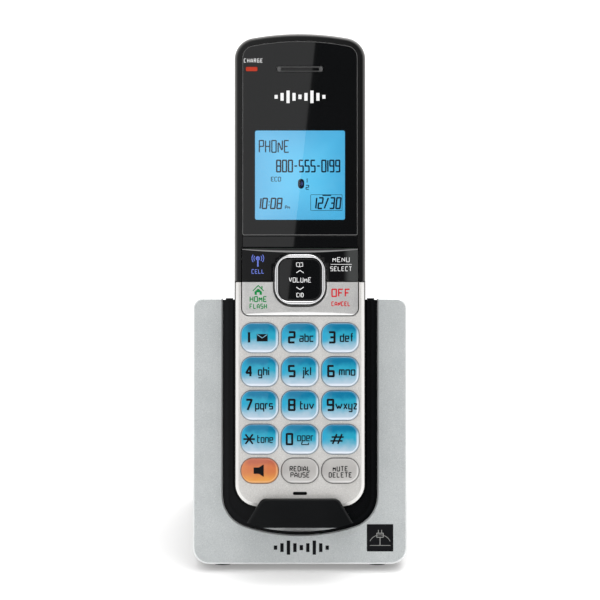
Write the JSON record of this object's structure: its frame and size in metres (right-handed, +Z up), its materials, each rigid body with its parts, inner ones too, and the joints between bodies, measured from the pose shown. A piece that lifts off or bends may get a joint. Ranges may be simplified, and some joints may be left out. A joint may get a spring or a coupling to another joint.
{
  "type": "cordless phone with base",
  "caption": "Slim cordless handset leaning back in the well of a wedge-shaped charging base, with a window display, navigation ring and dial keys.",
  "frame": {"origin": "on the floor at the middle of the footprint", "axes": "+Z up, -Y towards the user, +X to the user's right"},
  "size_m": [0.0786, 0.092, 0.1895],
  "materials": {
    "silver_paint": "fine metallic silver paint over moulded plastic",
    "black_plastic": "fine-textured moulded plastic",
    "gloss_black": "polished",
    "smoked_window": "polished clear window, printed black round the screen",
    "blue_key": "translucent, lit from behind",
    "orange_key": "translucent, lit from behind",
    "clear_key": "translucent",
    "chrome": "polished plating",
    "display": "backlit liquid crystal",
    "red_light": "lit",
    "circuit_board": "solder mask",
    "tinned_metal": "satin",
    "contact_metal": "plated",
    "white_plastic": "moulded",
    "white_rubber": "silicone",
    "black_rubber": "matte",
    "battery_wrap": "shrink wrap"
  },
  "bodies": {
    "base": {"base_faceplate": "silver_paint", "cradle_housing": "black_plastic", "rear_housing": "black_plastic", "cradle_lip": "gloss_black", "base_circuit_board": "circuit_board", "base_radio_shield": "tinned_metal", "base_antenna": "tinned_metal", "power_jack": "black_plastic", "line_jack": "black_plastic", "contact_block": "black_plastic", "base_screws": "tinned_metal", "base_feet": "black_rubber"},
    "charge_contact_left": {"charge_contact_left": "contact_metal"},
    "charge_contact_right": {"charge_contact_right": "contact_metal"},
    "find_handset_key": {"find_handset_key": "black_rubber"},
    "handset": {"back_shell": "black_plastic", "upper_front_frame": "gloss_black", "keypad_frame": "silver_paint", "display_lens": "smoked_window", "trim_bar": "gloss_black", "charge_light": "red_light", "earpiece_surround": "gloss_black", "display_module": "display", "display_light_guide": "white_plastic", "earpiece_speaker": "tinned_metal", "keypad_membrane": "white_rubber", "handset_circuit_board": "circuit_board", "handset_radio_shield": "tinned_metal", "handset_antenna": "tinned_metal", "microphone": "tinned_metal", "ringer_speaker": "black_plastic", "battery_pack": "battery_wrap", "battery_connector": "white_plastic", "handset_contacts": "contact_metal", "handset_screws": "tinned_metal"},
    "battery_cover": {"battery_cover": "black_plastic"},
    "navigation_key": {"nav_ring": "chrome", "nav_pad": "gloss_black"},
    "cell_menu_key": {"cell_menu_key": "gloss_black"},
    "home_off_key": {"home_off_key": "silver_paint"},
    "key_one": {"key_one": "blue_key"},
    "key_two": {"key_two": "blue_key"},
    "key_three": {"key_three": "blue_key"},
    "key_four": {"key_four": "blue_key"},
    "key_five": {"key_five": "blue_key"},
    "key_six": {"key_six": "blue_key"},
    "key_seven": {"key_seven": "blue_key"},
    "key_eight": {"key_eight": "blue_key"},
    "key_nine": {"key_nine": "blue_key"},
    "key_star": {"key_star": "blue_key"},
    "key_zero": {"key_zero": "blue_key"},
    "key_hash": {"key_hash": "blue_key"},
    "key_speaker": {"key_speaker": "orange_key"},
    "key_redial_pause": {"key_redial_pause": "clear_key"},
    "key_mute_delete": {"key_mute_delete": "clear_key"}
  },
  "joints": [
    {"name": "handset_lift", "type": "slide", "parent": "base", "child": "handset", "axis": [0, 0.342, 0.9397], "range_m": [0, 0.1]},
    {"name": "charge_contact_left_rise", "type": "slide", "parent": "base", "child": "charge_contact_left", "axis": [0, 0.342, 0.9397], "range_m": [0, 0.0008]},
    {"name": "charge_contact_right_rise", "type": "slide", "parent": "base", "child": "charge_contact_right", "axis": [0, 0.342, 0.9397], "range_m": [0, 0.0008]},
    {"name": "find_handset_press", "type": "slide", "parent": "base", "child": "find_handset_key", "axis": [-1, 0, 0], "range_m": [0, 0.0005], "stiffness_N_per_m": 300, "springref_m": -0.001},
    {"name": "battery_cover_slide", "type": "slide", "parent": "handset", "child": "battery_cover", "axis": [0, -0.342, -0.9397], "range_m": [0, 0.006]},
    {"name": "navigation_tilt", "type": "hinge", "parent": "handset", "child": "navigation_key", "pos_m": [0, -0.00924, 0.10429], "axis": [1, 0, 0], "range_deg": [-3, 3], "stiffness_Nm_per_rad": 0.05},
    {"name": "cell_menu_tilt", "type": "hinge", "parent": "handset", "child": "cell_menu_key", "pos_m": [0, -0.00696, 0.1091], "axis": [0, 0.342, 0.9397], "range_deg": [-1.2, 1.2], "stiffness_Nm_per_rad": 0.1},
    {"name": "home_off_tilt", "type": "hinge", "parent": "handset", "child": "home_off_key", "pos_m": [0, -0.01116, 0.09754], "axis": [0, 0.342, 0.9397], "range_deg": [-1.2, 1.2], "stiffness_Nm_per_rad": 0.1},
    {"name": "key_one_press", "type": "slide", "parent": "handset", "child": "key_one", "axis": [0, 0.9397, -0.342], "range_m": [0, 0.0007], "stiffness_N_per_m": 300, "springref_m": -0.001},
    {"name": "key_two_press", "type": "slide", "parent": "handset", "child": "key_two", "axis": [0, 0.9397, -0.342], "range_m": [0, 0.0007], "stiffness_N_per_m": 300, "springref_m": -0.001},
    {"name": "key_three_press", "type": "slide", "parent": "handset", "child": "key_three", "axis": [0, 0.9397, -0.342], "range_m": [0, 0.0007], "stiffness_N_per_m": 300, "springref_m": -0.001},
    {"name": "key_four_press", "type": "slide", "parent": "handset", "child": "key_four", "axis": [0, 0.9397, -0.342], "range_m": [0, 0.0007], "stiffness_N_per_m": 300, "springref_m": -0.001},
    {"name": "key_five_press", "type": "slide", "parent": "handset", "child": "key_five", "axis": [0, 0.9397, -0.342], "range_m": [0, 0.0007], "stiffness_N_per_m": 300, "springref_m": -0.001},
    {"name": "key_six_press", "type": "slide", "parent": "handset", "child": "key_six", "axis": [0, 0.9397, -0.342], "range_m": [0, 0.0007], "stiffness_N_per_m": 300, "springref_m": -0.001},
    {"name": "key_seven_press", "type": "slide", "parent": "handset", "child": "key_seven", "axis": [0, 0.9397, -0.342], "range_m": [0, 0.0007], "stiffness_N_per_m": 300, "springref_m": -0.001},
    {"name": "key_eight_press", "type": "slide", "parent": "handset", "child": "key_eight", "axis": [0, 0.9397, -0.342], "range_m": [0, 0.0007], "stiffness_N_per_m": 300, "springref_m": -0.001},
    {"name": "key_nine_press", "type": "slide", "parent": "handset", "child": "key_nine", "axis": [0, 0.9397, -0.342], "range_m": [0, 0.0007], "stiffness_N_per_m": 300, "springref_m": -0.001},
    {"name": "key_star_press", "type": "slide", "parent": "handset", "child": "key_star", "axis": [0, 0.9397, -0.342], "range_m": [0, 0.0007], "stiffness_N_per_m": 300, "springref_m": -0.001},
    {"name": "key_zero_press", "type": "slide", "parent": "handset", "child": "key_zero", "axis": [0, 0.9397, -0.342], "range_m": [0, 0.0007], "stiffness_N_per_m": 300, "springref_m": -0.001},
    {"name": "key_hash_press", "type": "slide", "parent": "handset", "child": "key_hash", "axis": [0, 0.9397, -0.342], "range_m": [0, 0.0007], "stiffness_N_per_m": 300, "springref_m": -0.001},
    {"name": "key_speaker_press", "type": "slide", "parent": "handset", "child": "key_speaker", "axis": [0, 0.9397, -0.342], "range_m": [0, 0.0007], "stiffness_N_per_m": 300, "springref_m": -0.001},
    {"name": "key_redial_pause_press", "type": "slide", "parent": "handset", "child": "key_redial_pause", "axis": [0, 0.9397, -0.342], "range_m": [0, 0.0007], "stiffness_N_per_m": 300, "springref_m": -0.001},
    {"name": "key_mute_delete_press", "type": "slide", "parent": "handset", "child": "key_mute_delete", "axis": [0, 0.9397, -0.342], "range_m": [0, 0.0007], "stiffness_N_per_m": 300, "springref_m": -0.001}
  ],
  "couplings": [
    {"joint": "charge_contact_left_rise", "follows": "handset_lift", "ratio": 0.008},
    {"joint": "charge_contact_right_rise", "follows": "handset_lift", "ratio": 0.008}
  ]
}
